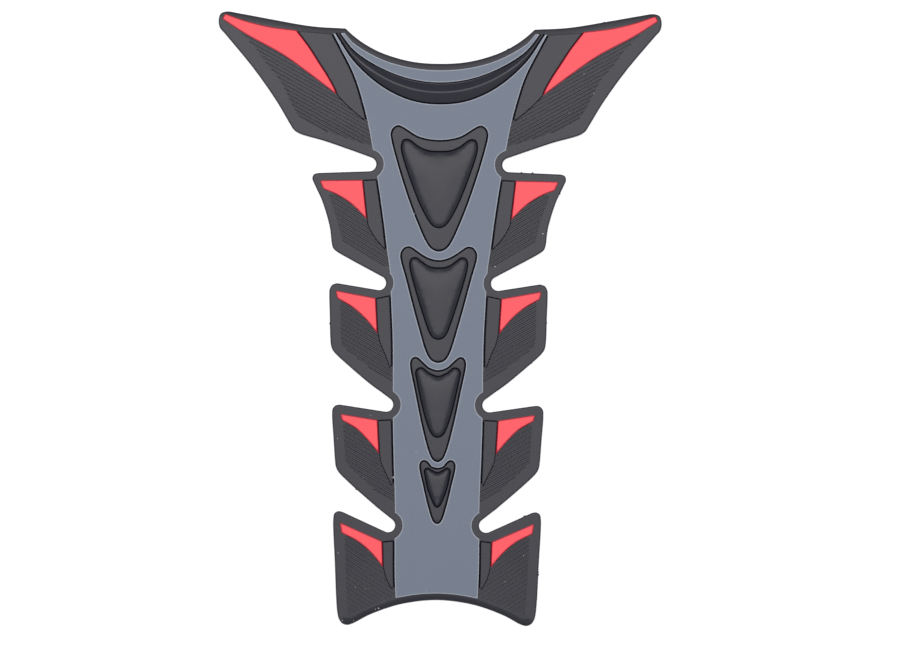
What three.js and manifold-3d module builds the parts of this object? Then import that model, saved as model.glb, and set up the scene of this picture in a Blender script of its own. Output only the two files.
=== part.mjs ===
// Motorcycle tank pad, lying flat: wings towards +Y, patterned face towards +Z, back face on z = 0.
// Millimetres. The origin is on the back face, in the middle of the pad's length and width.
// A black moulding carries every raised and recessed shape. The grey and red areas are separate
// pours that lie in its pockets.

import * as THREE from 'three';
import { mergeVertices } from 'three/addons/utils/BufferGeometryUtils.js';
import Module from 'manifold-3d';

const wasm = await Module();
wasm.setup();

// Overall size
const padLength = 215;
const padWidth = 155.4;

// Heights, each counted from the level it stands on
const sheetThickness = 1.0; // back face to the floor of the colour pockets
const rimRise = 0.45; // floor to the plain rim
const ribDepth = 0.3; // depth of the grooves between the ribs
const greyRise = 0.9; // floor to the top of the grey panel and the collar band
const redRise = 0.6; // floor to the top of the red fields
const stripRise = 0.95; // floor to the top of the smooth blades
const frameRise = 1.1; // floor to the top of the arrowhead frames
const domeEdgeRise = 0.5; // floor to the edge of a pillow dome
const domeRise = 1.65; // floor to the crown of the largest pillow dome
const ridgeEdgeRise = 0.5; // floor to the edges of the roof-shaped ridge
const ridgeRise = 2.0; // floor to the crest of the roof-shaped ridge

// Plan sizes
const seamGap = 0.3; // clearance between a pour and the wall of its pocket
const grooveWidth = 0.5; // groove round a pillow dome
const edgeBevel = 0.3; // bevel round the pad's top edge
const shoulder = 0.15; // bevel on the top edges of the raised shapes
const tipRadius = 0.7; // rounding at the points of the pours and blades
const notchRadius = 2.5; // inner end of each open notch
const ringWidth = 2.6; // plain rim round the inner end of each notch
const domeCrownWidth = 5.5; // distance over which a dome reaches its full height

// Ribs
const wingRibPitch = 1.2;
const finRibPitch = 1.38;
const ribGrooveShare = 0.5; // part of the pitch that the groove takes

const domeMiddle = 0.7; // place of a dome's middle, from its foot (0) to its head (1)
const domeRings = [1, 0.9, 0.7, 0.4, 0]; // a dome's sections, from its edge (1) to its middle (0)

// How finely and how far the shapes are drawn
const curveSteps = 10; // points between two drawn points of a curve, before it is thinned
const curveTolerance = 0.1; // how far a thinned edge may stray from its curve
const stripSteps = 3; // the same between the drawn points of the collar band and the ridge
const arcStep = 0.42; // angle between the points of a round end or corner
const sharpTurn = 0.5; // a corner that turns more than this angle is rounded
const cornerShare = 0.45; // most of an edge that the rounding at one of its ends may take
const spikeLimit = 0.05; // keeps the inset of a very sharp corner short
const insetTolerance = 0.97; // share of the inset that every moved point keeps to the old outline
const samePoint = 1e-3; // points of an outline nearer than this are one
const pinched = 0.01; // the same after an inset, where a round tip can shrink to a sharp one
const sameCorner = 1e-4; // corners of a solid nearer than this are one
const discSides = 24;
const ridgeReach = 1.1; // the ridge's sides run on past its edges, as a share of their width
const rootDepth = 0.3; // how deep the raised shapes are rooted in the sheet
const grooveLift = 0.06; // how far above the rim the sides of a rib groove's cutter run on
const overshoot = 1; // how far a cutter reaches past what it cuts

// Levels
const floorLevel = sheetThickness;
const rimLevel = floorLevel + rimRise;
const bedLevel = floorLevel - rootDepth;
const clearLevel = floorLevel + Math.max(domeRise, ridgeRise, frameRise) + overshoot; // above everything

// The outlines below are drawn for this size and are stretched to the size stated above.
const drawnLength = 215;
const drawnWidth = 155.4;
const onPad = ([x, y]) => new THREE.Vector2((x * padWidth) / drawnWidth, (y * padLength) / drawnLength);

// Right half of the pad, from the collar down to the foot. Between two fins the edge runs round the
// notch that the upper fin names.
const collarEdge = [[0, 89.6], [10, 90.35], [20, 93.15], [26, 96.15], [30, 98.95], [33.2, 101.8]];

const wing = {
  name: 'wing',
  edge: [
    [33.2, 101.8], [45, 102.5], [60, 105.0], [70, 106.8], [75, 107.5], [77.0, 106.7], [77.7, 104.5],
    [77.25, 101.8], [75.5, 99.7], [65.25, 87.4], [57.25, 76.15], [52.4, 68.05], [51.15, 66.15],
    [49.05, 64.8], [40.1, 62.2], [30.1, 58.8],
  ],
  notch: [24.6, 54.2],
  bladeHead: [[37.9, 99.9], [50.0, 100.8]],
  divide: [[50.0, 100.8], [45.4, 94.7], [42.25, 89.8], [39.05, 84.85], [36.4, 79.9], [36.0, 78.5]],
  bladeTail: [[36.0, 78.5], [35.0, 77.3], [30.3, 72.8], [26.4, 69.65]],
  redHead: [[50.0, 100.8], [60, 102.1], [68, 104.0], [75.4, 106.5]],
  redArc: [[76.3, 104.8], [68, 99.5], [55.2, 92.5], [45.15, 85.4], [36.0, 78.5]],
  ribPitch: wingRibPitch,
  ribAngle: 28.5,
  ribField: [
    [24.4, 60.8], [34, 63.7], [42, 66.5], [46, 68.5], [50, 71.5], [52.5, 76.5], [56, 83.5], [61, 89.5],
    [65, 95], [69.8, 99.8], [66, 99.6], [50, 91], [40, 83], [34, 79], [25, 71], [23.5, 66],
  ],
};
const secondFin = {
  name: 'second_fin',
  edge: [
    [42.5, 51.0], [44.0, 50.5], [44.5, 49.2], [43.4, 46.4], [41.0, 41.2], [38.3, 32.2], [37.5, 26.2],
    [37.05, 24.7], [36.0, 23.65], [30.1, 20.25],
  ],
  notch: [20.9, 12.55],
  bladeHead: [[22.1, 48.75], [26.6, 48.55]],
  divide: [[26.6, 48.55], [25.1, 34.8]],
  bladeTail: [[25.1, 34.8], [24.85, 32.85], [22.1, 28.0], [18.7, 24.2]],
  redHead: [[26.6, 48.55], [41.8, 48.3]],
  redArc: [[40.5, 45.45], [35.85, 43.55], [30.8, 40.35], [25.1, 34.8]],
  ribPitch: finRibPitch,
  ribAngle: 31,
  ribField: [
    [17.6, 18.2], [20, 18.9], [28, 23.2], [33.8, 27.3], [35.5, 34], [38.6, 43.2], [36, 44.5], [30, 41],
    [26, 37], [23, 33], [17.5, 25],
  ],
};
const thirdFin = {
  name: 'third_fin',
  edge: [
    [35.6, 12.4], [37.3, 11.8], [38.2, 10.2], [38.3, 8.2], [38.1, 2], [37.75, -8.3], [37.4, -10.2],
    [36.5, -11.75], [30.3, -17.45], [23.2, -23.35], [20.15, -25.5],
  ],
  notch: [18.15, -30.1],
  bladeHead: [[16.9, 8.15], [21.8, 7.1]],
  divide: [[21.8, 7.1], [21.1, -5.3]],
  bladeTail: [[21.1, -5.3], [20.35, -8.45], [18.35, -13.1], [16.9, -17.2]],
  redHead: [[21.8, 7.1], [36.05, 9.75]],
  redArc: [[35.4, 7.2], [30.1, 4.05], [25.6, 0.15], [21.1, -5.3]],
  ribPitch: finRibPitch,
  ribAngle: 30,
  ribField: [
    [15.6, -22.8], [21, -19.6], [28.7, -13.6], [33.6, -9.7], [34.2, -7], [34.4, 6], [33, 7], [28, 4],
    [23, -1], [19, -8], [15.6, -15],
  ],
};
const fourthFin = {
  name: 'fourth_fin',
  edge: [
    [34.4, -30.2], [35.8, -30.45], [36.85, -31.6], [37.05, -33.6], [36.5, -42], [35.95, -49.6],
    [35.65, -51.8], [34.85, -53.6], [30.3, -58.15], [21.0, -66.25],
  ],
  notch: [17.2, -72.4],
  bladeHead: [[16.1, -35.4], [20.9, -35.6]],
  divide: [[20.9, -35.6], [20.25, -47.4]],
  bladeTail: [[20.25, -47.4], [19.95, -49.8], [18.2, -53.95], [16, -58.4]],
  redHead: [[20.9, -35.6], [34.1, -33.5]],
  redArc: [[33.5, -35.55], [28.35, -38.6], [24.45, -42.45], [20.25, -47.4]],
  ribPitch: finRibPitch,
  ribAngle: 29.5,
  ribField: [
    [14.4, -64.8], [18, -62.9], [22, -60], [30, -52.8], [32.3, -50], [33.1, -37.5], [31, -36], [25, -40.5],
    [21, -45.5], [17, -54], [14.4, -57],
  ],
};
const footFin = {
  name: 'foot_fin',
  edge: [
    [33.2, -67.85], [34.7, -67.6], [36.0, -68.3], [36.4, -70], [35.8, -85], [34.8, -103], [34.2, -105.4],
    [33.1, -106.9], [31.4, -107.5], [29.4, -106.95], [23.7, -103.95], [14.7, -100.65], [6.9, -99.1],
    [0, -98.6],
  ],
  bladeHead: [[15.1, -77.75], [19.0, -78.2]],
  divide: [[19.0, -78.2], [18.7, -87.2]],
  bladeTail: [[18.7, -87.2], [18.1, -89.75], [17.5, -91.5], [15.7, -94.8]],
  redHead: [[19.0, -78.2], [34.0, -71.6]],
  redArc: [[33.4, -75.05], [27.65, -78.05], [22.8, -82.2], [18.7, -87.2]],
  ribPitch: finRibPitch,
  ribAngle: 32.5,
  ribField: [
    [14.2, -96.9], [18, -98.3], [31, -103.6], [31.8, -92], [32.4, -76.5], [30, -75.5], [25, -79], [20, -85],
    [16.5, -92], [14.2, -93],
  ],
};
const fins = [wing, secondFin, thirdFin, fourthFin, footFin];

// Collar band, roof-shaped ridge and grey panel, right half
const bandTop = [[0, 87.3], [10, 88.15], [20, 90.9], [30, 96.45], [33.5, 100.2]];
const bandFoot = [[0, 82.8], [10, 83.95], [19.9, 87.45], [29.85, 93.65], [35.2, 100.1]];
const ridgeCrest = [[0, 79.3], [10.1, 80.55], [20.15, 84.65], [29.95, 91.95], [35.9, 100.2]];
const panelTop = [[0, 75.5], [10, 76.8], [20.05, 81.55], [30, 90.3], [36.65, 100.15]];
const panelSide = [
  [38.0, 100.2], [35.3, 95.1], [30.2, 84.95], [27, 75], [25.05, 67], [22.0, 49.5], [19.8, 35], [18.4, 24],
  [17.4, 16.6], [16.8, 5], [16.2, -8], [16.1, -20], [16.0, -35], [15.6, -50], [15.1, -65], [15.1, -78],
  [15, -90], [14.65, -98.15],
];
const panelFoot = [[14.65, -98.15], [6.95, -96.85], [0, -96.45]];

// Right halves of the four arrowheads: the frame's outer edge and the dome's edge, top to bottom
const arrowheads = [
  {
    frame: [
      [0, 62.5], [5, 63.05], [8.05, 64.05], [12.9, 67.05], [14.5, 67.65], [15.95, 66.9], [16.85, 65.1],
      [16.65, 62.95], [13.35, 50.9], [8.15, 35.95], [3.4, 25.8], [1.6, 24.3], [0, 23.9],
    ],
    dome: [
      [0, 58.65], [4.05, 58.95], [7.2, 60.25], [10.2, 62.45], [11.4, 62.85], [12.6, 62.5], [13.2, 61],
      [13.15, 58.9], [10.15, 49.25], [6.05, 39.1], [3, 33.8], [1.6, 32.5], [0, 32.1],
    ],
  },
  {
    frame: [
      [0, 20.4], [4.15, 21.4], [8.35, 24.1], [9.5, 24.9], [10.6, 25.2], [12, 24.75], [13, 23.4],
      [13.2, 21.6], [11.35, 14.55], [7.15, -1.15], [3.8, -11.95], [2.15, -14.35], [0, -15.1],
    ],
    dome: [
      [0, 17.85], [3.1, 18.2], [6.35, 20.25], [7.4, 21.1], [8.5, 21.4], [9.6, 20.9], [10.05, 19.6],
      [9.8, 17.05], [7.85, 9.8], [4, -2.2], [3, -4.7], [1.8, -6.4], [0, -7],
    ],
  },
  {
    frame: [
      [0, -18.15], [3.05, -17.3], [6.85, -14.0], [7.85, -13.5], [8.9, -13.9], [9.5, -15.1], [9.5, -16.8],
      [7.9, -24.8], [5.05, -38.4], [2.7, -46.8], [1.5, -49.1], [0, -49.9],
    ],
    dome: [
      [0, -20.2], [3.1, -19.05], [4.4, -18.05], [5.35, -17.3], [6.3, -17.2], [7.25, -17.65], [7.75, -18.75],
      [7.4, -21], [4.45, -34], [2.15, -40], [1.1, -41.05], [0, -41.35],
    ],
  },
  {
    frame: [
      [0, -52.4], [2.15, -51.8], [3.25, -50.45], [4.1, -49.8], [5.2, -49.75], [6, -50.7], [6.05, -52.4],
      [4.7, -58.5], [2.95, -65.8], [1.1, -70.95], [0, -71.6],
    ],
    dome: [
      [0, -53.9], [2, -53.1], [3, -52.45], [3.8, -52.4], [4.45, -53.05], [4.25, -55], [3.25, -59.6],
      [1.35, -64.4], [0.6, -65.6], [0, -65.9],
    ],
  },
];

// Plane geometry

// Smooth curve through a few points, with a set number of steps between two of them. One that starts
// or ends on the middle line crosses it square, because its mirror image runs on from there.
function evenly(points, steps = stripSteps) {
  const placed = points.map(onPad).map((p) => new THREE.Vector3(p.x, p.y, 0));
  const across = (p) => new THREE.Vector3(-p.x, p.y, 0);
  const before = placed[0].x === 0 ? [across(placed[1])] : [];
  const after = placed.at(-1).x === 0 ? [across(placed.at(-2))] : [];
  const all = [...before, ...placed, ...after];
  const curve = new THREE.CatmullRomCurve3(all, false, 'centripetal');
  const drawn = curve.getPoints((all.length - 1) * steps).map((p) => new THREE.Vector2(p.x, p.y));
  return drawn.slice(before.length * steps, drawn.length - after.length * steps);
}

// The same with only as many points as the tolerance asks for
const smooth = (points) => thin(points.length < 3 ? points.map(onPad) : evenly(points, curveSteps));

// Leaves out the points that lie on the line between their neighbours, within the tolerance
function thin(points) {
  if (points.length < 3) return points;
  const [first, last] = [points[0], points.at(-1)];
  let farthest = 0;
  let split = 0;
  for (let i = 1; i < points.length - 1; i++) {
    const distance = distanceToEdge(points[i], first, last);
    if (distance > farthest) [farthest, split] = [distance, i];
  }
  if (farthest < curveTolerance) return [first, last];
  return [...thin(points.slice(0, split + 1)), ...thin(points.slice(split)).slice(1)];
}

function distanceToEdge(point, start, end) {
  const edge = end.clone().sub(start);
  const along = point.clone().sub(start).dot(edge) / Math.max(edge.lengthSq(), Number.EPSILON);
  return point.distanceTo(start.clone().addScaledVector(edge, THREE.MathUtils.clamp(along, 0, 1)));
}

function distanceToOutline(point, outline) {
  const distances = outline.map((start, i) => (
    distanceToEdge(point, start, outline[(i + 1) % outline.length])));
  return Math.min(...distances);
}

// Joins runs of points end to end and drops the doubled points
function joined(...runs) {
  const points = runs.flat();
  return points.filter((p, i) => p.distanceTo(points[(i + 1) % points.length]) > samePoint);
}

const mirrored = (points) => points.map((p) => new THREE.Vector2(-p.x, p.y)).reverse();
const counterClockwise = (points) => (
  THREE.ShapeUtils.isClockWise(points) ? [...points].reverse() : points);

// Closed outline from a right half that runs from the top middle to the bottom middle
const bothHalves = (half) => counterClockwise(joined(half, mirrored(half)));

// Rounds the corners of an outline that turn sharply, as far as the edges beside them allow
function roundedCorners(outline, radius) {
  const corners = [];
  outline.forEach((corner, i) => {
    const before = outline.at(i - 1);
    const after = outline[(i + 1) % outline.length];
    const arriving = corner.clone().sub(before);
    const leaving = after.clone().sub(corner);
    const turn = Math.abs(Math.atan2(arriving.cross(leaving), arriving.dot(leaving)));
    if (turn < sharpTurn) {
      corners.push(corner);
      return;
    }
    const shortest = Math.min(arriving.length(), leaving.length());
    const reach = Math.min(radius * Math.tan(turn / 2), cornerShare * shortest);
    const start = corner.clone().addScaledVector(arriving.normalize(), -reach);
    const end = corner.clone().addScaledVector(leaving.normalize(), reach);
    const steps = Math.max(2, Math.round(turn / arcStep));
    const bulge = Math.cos(turn / 2);
    for (let k = 0; k <= steps; k++) {
      const t = k / steps;
      const [a, b, c] = [(1 - t) ** 2, 2 * t * (1 - t) * bulge, t ** 2];
      corners.push(start.clone().multiplyScalar(a).addScaledVector(corner, b).addScaledVector(end, c)
        .divideScalar(a + b + c));
    }
  });
  return joined(corners);
}

// Gives points that have come together one place, and leaves as many in the list
function gathered(points) {
  const placed = [points[0]];
  for (const point of points.slice(1)) {
    const last = placed.at(-1);
    placed.push(point.distanceTo(last) < pinched ? last : point);
  }
  return placed.map((point) => (point.distanceTo(placed[0]) < pinched ? placed[0] : point));
}

// Moves an outline inwards (or outwards, for a negative distance). Every point keeps its place in
// the list: one that would cross another edge moves on to its next good neighbour.
function inset(outline, distance) {
  if (distance === 0) return outline;
  const moved = outline.map((p, i) => {
    const arriving = p.clone().sub(outline.at(i - 1)).normalize();
    const leaving = outline[(i + 1) % outline.length].clone().sub(p).normalize();
    const across = new THREE.Vector2(-arriving.y - leaving.y, arriving.x + leaving.x);
    const reach = Math.max(1 + arriving.dot(leaving), spikeLimit);
    return p.clone().addScaledVector(across, distance / reach);
  });
  const least = insetTolerance * Math.abs(distance);
  const good = moved.map((p) => distanceToOutline(p, outline) > least);
  return gathered(moved.map((p, i) => {
    let next = i;
    while (!good[next % good.length] && next < i + good.length) next++;
    return moved[next % moved.length];
  }));
}

// Solids

// Closed solid from a plain list of triangle corners
function solid(corners) {
  const geometry = new THREE.BufferGeometry();
  geometry.setAttribute('position', new THREE.Float32BufferAttribute(corners.flat(), 3));
  const merged = mergeVertices(geometry, sameCorner);
  const faces = [];
  for (let i = 0; i < merged.index.count; i += 3) {
    const [a, b, c] = [0, 1, 2].map((k) => merged.index.getX(i + k));
    if (a !== b && b !== c && c !== a) faces.push(a, b, c);
  }
  return new wasm.Manifold(new wasm.Mesh({
    numProp: 3,
    vertProperties: new Float32Array(merged.attributes.position.array),
    triVerts: new Uint32Array(faces),
  }));
}

// The same solid on the other side of the pad
function mirroredSolid(original) {
  const { vertProperties, triVerts } = original.getMesh();
  return new wasm.Manifold(new wasm.Mesh({
    numProp: 3,
    vertProperties: vertProperties.map((value, i) => (i % 3 === 0 ? -value : value)),
    triVerts: new Uint32Array(triVerts).reverse(),
  }));
}

// Closed solid through rings of equal length, lowest first. Each ring is { outline, heights }, with
// one height for the whole ring or one for each of its points.
function loft(rings) {
  const corners = [];
  const at = ({ outline, heights }, i) => {
    const k = i % outline.length;
    return [outline[k].x, outline[k].y, Array.isArray(heights) ? heights[k] : heights];
  };
  for (let r = 0; r + 1 < rings.length; r++) {
    const [low, high] = [rings[r], rings[r + 1]];
    for (let i = 0; i < low.outline.length; i++) {
      corners.push(at(low, i), at(low, i + 1), at(high, i + 1), at(low, i), at(high, i + 1), at(high, i));
    }
  }
  const close = ({ outline, heights }, upwards) => {
    const points = joined(outline);
    if (points.length < 3) return;
    for (const face of THREE.ShapeUtils.triangulateShape(points, [])) {
      const order = upwards ? face : [...face].reverse();
      corners.push(...order.map((k) => [points[k].x, points[k].y, heights]));
    }
  };
  close(rings[0], false);
  close(rings.at(-1), true);
  return solid(corners);
}

// Straight-sided solid
const prism = (outline, low, high) => loft([{ outline, heights: low }, { outline, heights: high }]);

// Raised shape with a bevel round its top
const raised = (outline, low, high, bevel = shoulder) => loft([
  { outline, heights: low },
  { outline, heights: high - bevel },
  { outline: inset(outline, bevel), heights: high },
]);

const union = (solids) => solids.reduce((all, next) => all.add(next));
const onBothSides = (right) => right.add(mirroredSolid(right));

// Plan of the black moulding

// Angle at which a straight line from outside touches the notch's round end
function touchAngle(centre, from, turn) {
  const line = from.clone().sub(centre);
  return line.angle() + turn * Math.acos(notchRadius / line.length());
}

// Round end of a notch, from the fin above it to the fin below it
function notchEnd(fin, above, below) {
  const centre = onPad(fin.notch);
  const start = touchAngle(centre, above, 1);
  const end = touchAngle(centre, below, -1);
  const sweep = THREE.MathUtils.euclideanModulo(end - start, 2 * Math.PI);
  const steps = Math.ceil(sweep / arcStep);
  return Array.from({ length: steps + 1 }, (_, k) => {
    const angle = start + (sweep * k) / steps;
    return new THREE.Vector2(Math.cos(angle), Math.sin(angle)).multiplyScalar(notchRadius).add(centre);
  });
}

function padOutline() {
  const edges = fins.map((fin) => smooth(fin.edge));
  const half = edges.flatMap((edge, i) => {
    const below = edges[i + 1];
    return below ? [...edge, ...notchEnd(fins[i], edge.at(-1), below[0])] : edge;
  });
  return bothHalves([...smooth(collarEdge), ...half]);
}

// Disc round the inner end of each notch, wider than the plain rim by the margin
function ringDiscs(margin) {
  const discs = fins.filter((fin) => fin.notch).map((fin) => {
    const centre = onPad(fin.notch);
    const radius = notchRadius + ringWidth + margin;
    const circle = new THREE.EllipseCurve(centre.x, centre.y, radius, radius);
    return prism(circle.getPoints(discSides).slice(0, -1), -overshoot, clearLevel);
  });
  return onBothSides(union(discs));
}

const panelHalf = joined(evenly(panelTop), smooth(panelSide), smooth(panelFoot));
const panelOutline = bothHalves(panelHalf);
const bandOutline = bothHalves([...evenly(bandTop), ...evenly(bandFoot).reverse()]);

function redOutline(fin) {
  const sides = joined(smooth(fin.redHead), smooth(fin.redArc), smooth(fin.divide).reverse());
  return roundedCorners(counterClockwise(sides), tipRadius);
}

// A blade's inner side follows the grey panel's edge, so its solid runs on under the panel's pocket
function bladeOutline(fin) {
  const [top, foot] = [onPad(fin.bladeHead[0]).y, onPad(fin.bladeTail.at(-1)).y];
  const inner = smooth(panelSide).filter((p) => p.y < top && p.y > foot).reverse();
  const under = [onPad(fin.bladeTail.at(-1)), ...inner, onPad(fin.bladeHead[0])]
    .map((p) => p.clone().add(new THREE.Vector2(-overshoot, 0)));
  return counterClockwise(joined(smooth(fin.bladeHead), smooth(fin.divide), smooth(fin.bladeTail), under));
}

// Features of the black moulding

function sheet() {
  const outline = padOutline();
  return loft([
    { outline, heights: 0 },
    { outline, heights: rimLevel - edgeBevel },
    { outline: inset(outline, edgeBevel), heights: rimLevel },
  ]);
}

// Parallel V-shaped grooves that leave the ribs of one fin standing
function ribGrooves(fin) {
  const field = fin.ribField.map(onPad);
  const angle = THREE.MathUtils.degToRad(fin.ribAngle);
  const along = new THREE.Vector2(Math.cos(angle), Math.sin(angle));
  const across = new THREE.Vector2(-along.y, along.x);
  const spread = (axis) => field.map((p) => p.dot(axis));
  const [lowest, highest] = [Math.min(...spread(across)), Math.max(...spread(across))];
  const [nearest, farthest] = [Math.min(...spread(along)), Math.max(...spread(along))];
  const top = rimLevel + grooveLift;
  const halfWidth = (0.5 * ribGrooveShare * fin.ribPitch * (ribDepth + grooveLift)) / ribDepth;
  const count = Math.floor((highest - lowest) / fin.ribPitch);
  const profile = [[highest + overshoot, clearLevel], [lowest - overshoot, clearLevel]];
  profile.push([lowest - overshoot, top]);
  for (let k = 0; k < count; k++) {
    const middle = lowest + (k + 0.5) * fin.ribPitch;
    profile.push([middle - halfWidth, top], [middle, rimLevel - ribDepth], [middle + halfWidth, top]);
  }
  profile.push([highest + overshoot, top]);
  const geometry = new THREE.ExtrudeGeometry(
    new THREE.Shape(profile.map(([x, y]) => new THREE.Vector2(x, y))),
    { depth: farthest - nearest + 2 * overshoot, bevelEnabled: false });
  geometry.translate(0, 0, nearest - overshoot);
  const [right, forward] = [across, along].map((axis) => new THREE.Vector3(axis.x, axis.y, 0));
  const up = new THREE.Vector3(0, 0, 1);
  geometry.applyMatrix4(new THREE.Matrix4().makeBasis(right, up, forward));
  const position = geometry.attributes.position;
  const corners = Array.from({ length: position.count }, (_, i) => [
    position.getX(i), position.getY(i), position.getZ(i)]);
  return solid(corners).intersect(prism(counterClockwise(field), 0, clearLevel + overshoot));
}

// Roof-shaped ridge between the collar band and the grey panel. Its sides run on a little under the
// two pockets beside it, which trim them.
function roofRidge() {
  const [upper, crest, lower] = [bandFoot, ridgeCrest, panelTop].map((points) => evenly(points));
  const width = upper.map((p, i) => p.distanceTo(lower[i]));
  const sections = crest.map((top, i) => {
    const rise = ridgeEdgeRise + (ridgeRise - ridgeEdgeRise) * Math.min(1, width[i] / width[0]);
    const edge = floorLevel + rise - ridgeReach * (rise - ridgeEdgeRise);
    const [above, under] = [upper[i], lower[i]].map((side) => top.clone().lerp(side, ridgeReach));
    return [
      [above.x, above.y, bedLevel], [above.x, above.y, edge], [top.x, top.y, floorLevel + rise],
      [under.x, under.y, edge], [under.x, under.y, bedLevel],
    ];
  });
  const flipped = sections.slice(1).map((section) => section.map(([x, y, z]) => [-x, y, z])).reverse();
  const stations = [...flipped, ...sections];
  const corners = [];
  for (let s = 0; s + 1 < stations.length; s++) {
    const [left, right] = [stations[s], stations[s + 1]];
    for (let k = 0; k < left.length; k++) {
      const next = (k + 1) % left.length;
      corners.push(left[k], left[next], right[next], left[k], right[next], right[k]);
    }
  }
  for (let k = 1; k + 1 < stations[0].length; k++) {
    corners.push(stations[0][0], stations[0][k + 1], stations[0][k]);
    corners.push(stations.at(-1)[0], stations.at(-1)[k], stations.at(-1)[k + 1]);
  }
  return solid(corners);
}

// Pillow dome: it rises quickly from its edge and flattens towards its middle
function pillowDome(edge) {
  const ys = edge.map((p) => p.y);
  const middle = new THREE.Vector2(0, THREE.MathUtils.lerp(Math.min(...ys), Math.max(...ys), domeMiddle));
  const rings = domeRings.map((share) => {
    const outline = edge.map((p) => middle.clone().lerp(p, share));
    const heights = outline.map((p) => {
      const inwards = share === 1 ? 0 : Math.min(1, distanceToOutline(p, edge) / domeCrownWidth);
      const swell = 1 - (1 - inwards) ** 2;
      return floorLevel + domeEdgeRise + (domeRise - domeEdgeRise) * swell;
    });
    return { outline, heights };
  });
  return loft([{ outline: edge, heights: bedLevel }, ...rings]);
}

const arrowOutline = (half) => bothHalves(smooth(half));

function arrowhead({ frame, dome }) {
  const domeEdge = arrowOutline(dome);
  const opening = prism(inset(domeEdge, -grooveWidth / 2), floorLevel, clearLevel);
  return raised(arrowOutline(frame), bedLevel, floorLevel + frameRise).subtract(opening)
    .add(pillowDome(inset(domeEdge, grooveWidth / 2)));
}

function blackMoulding() {
  const rings = ringDiscs(0);
  const blades = union(fins.map((fin) => raised(bladeOutline(fin), bedLevel, floorLevel + stripRise)))
    .subtract(rings);
  const grooves = union(fins.map(ribGrooves));
  const redPockets = union(fins.map((fin) => prism(redOutline(fin), floorLevel, clearLevel)));
  const panelPocket = prism(panelOutline, floorLevel, clearLevel).subtract(rings);
  const bandPocket = prism(bandOutline, floorLevel, clearLevel);
  return sheet()
    .subtract(onBothSides(grooves))
    .add(onBothSides(blades))
    .add(roofRidge())
    .subtract(onBothSides(redPockets))
    .subtract(panelPocket)
    .subtract(bandPocket)
    .add(union(arrowheads.map(arrowhead)));
}

// Coloured pours

function greyPanel() {
  const holes = arrowheads.map(({ frame }) => (
    prism(inset(arrowOutline(frame), -seamGap), floorLevel - overshoot, clearLevel)));
  return raised(inset(panelOutline, seamGap), floorLevel, floorLevel + greyRise)
    .subtract(ringDiscs(seamGap))
    .subtract(union(holes));
}

const collarBand = () => raised(
  inset(roundedCorners(bandOutline, tipRadius), seamGap), floorLevel, floorLevel + greyRise);

const redField = (fin) => raised(inset(redOutline(fin), seamGap), floorLevel, floorLevel + redRise);

// Assembly

const blackPvc = new THREE.MeshStandardMaterial({ color: 0x515256, roughness: 0.75, metalness: 0 });
const greyPvc = new THREE.MeshStandardMaterial({ color: 0x82858f, roughness: 0.75, metalness: 0 });
const redPvc = new THREE.MeshStandardMaterial({ color: 0xfb646b, roughness: 0.7, metalness: 0 });

function meshOf(name, body, material) {
  const { vertProperties, triVerts } = body.getMesh();
  const geometry = new THREE.BufferGeometry();
  geometry.setAttribute('position', new THREE.BufferAttribute(new Float32Array(vertProperties), 3));
  geometry.setIndex(new THREE.BufferAttribute(new Uint32Array(triVerts), 1));
  geometry.computeVertexNormals();
  const mesh = new THREE.Mesh(geometry, material);
  mesh.name = name;
  return mesh;
}

const tankPad = new THREE.Group();
tankPad.add(meshOf('black_moulding', blackMoulding(), blackPvc));
tankPad.add(meshOf('grey_centre_panel', greyPanel(), greyPvc));
tankPad.add(meshOf('grey_collar_band', collarBand(), greyPvc));
for (const fin of fins) {
  const field = redField(fin);
  tankPad.add(meshOf(`red_${fin.name}_right`, field, redPvc));
  tankPad.add(meshOf(`red_${fin.name}_left`, mirroredSolid(field), redPvc));
}

export default tankPad;
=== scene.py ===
import math

import bpy
import numpy as np
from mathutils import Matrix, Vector, geometry


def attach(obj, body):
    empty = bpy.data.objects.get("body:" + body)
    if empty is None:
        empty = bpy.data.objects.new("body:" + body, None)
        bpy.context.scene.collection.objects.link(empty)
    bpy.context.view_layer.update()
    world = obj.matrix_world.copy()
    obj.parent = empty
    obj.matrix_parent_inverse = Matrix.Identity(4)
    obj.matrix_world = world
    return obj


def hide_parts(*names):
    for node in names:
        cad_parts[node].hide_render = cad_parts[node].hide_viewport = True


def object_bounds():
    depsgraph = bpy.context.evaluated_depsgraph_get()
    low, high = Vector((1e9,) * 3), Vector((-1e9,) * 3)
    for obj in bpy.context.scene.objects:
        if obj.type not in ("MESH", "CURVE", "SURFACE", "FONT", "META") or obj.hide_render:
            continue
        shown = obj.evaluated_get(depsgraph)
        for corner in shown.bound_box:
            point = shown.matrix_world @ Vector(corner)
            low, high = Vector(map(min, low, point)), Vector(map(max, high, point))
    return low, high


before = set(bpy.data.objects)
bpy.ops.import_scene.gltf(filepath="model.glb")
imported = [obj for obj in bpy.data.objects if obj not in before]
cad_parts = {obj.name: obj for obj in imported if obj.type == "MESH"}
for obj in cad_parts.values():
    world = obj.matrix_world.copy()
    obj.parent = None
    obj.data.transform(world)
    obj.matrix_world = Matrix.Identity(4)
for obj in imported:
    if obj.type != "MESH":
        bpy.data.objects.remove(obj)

# Motorcycle tank pad, seen flat from above: black moulding, grey and red pours.
# Plan sizes and heights are in millimetres. Meshes are made in metres.

scene = bpy.context.scene
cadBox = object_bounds()
mm = 0.001

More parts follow.
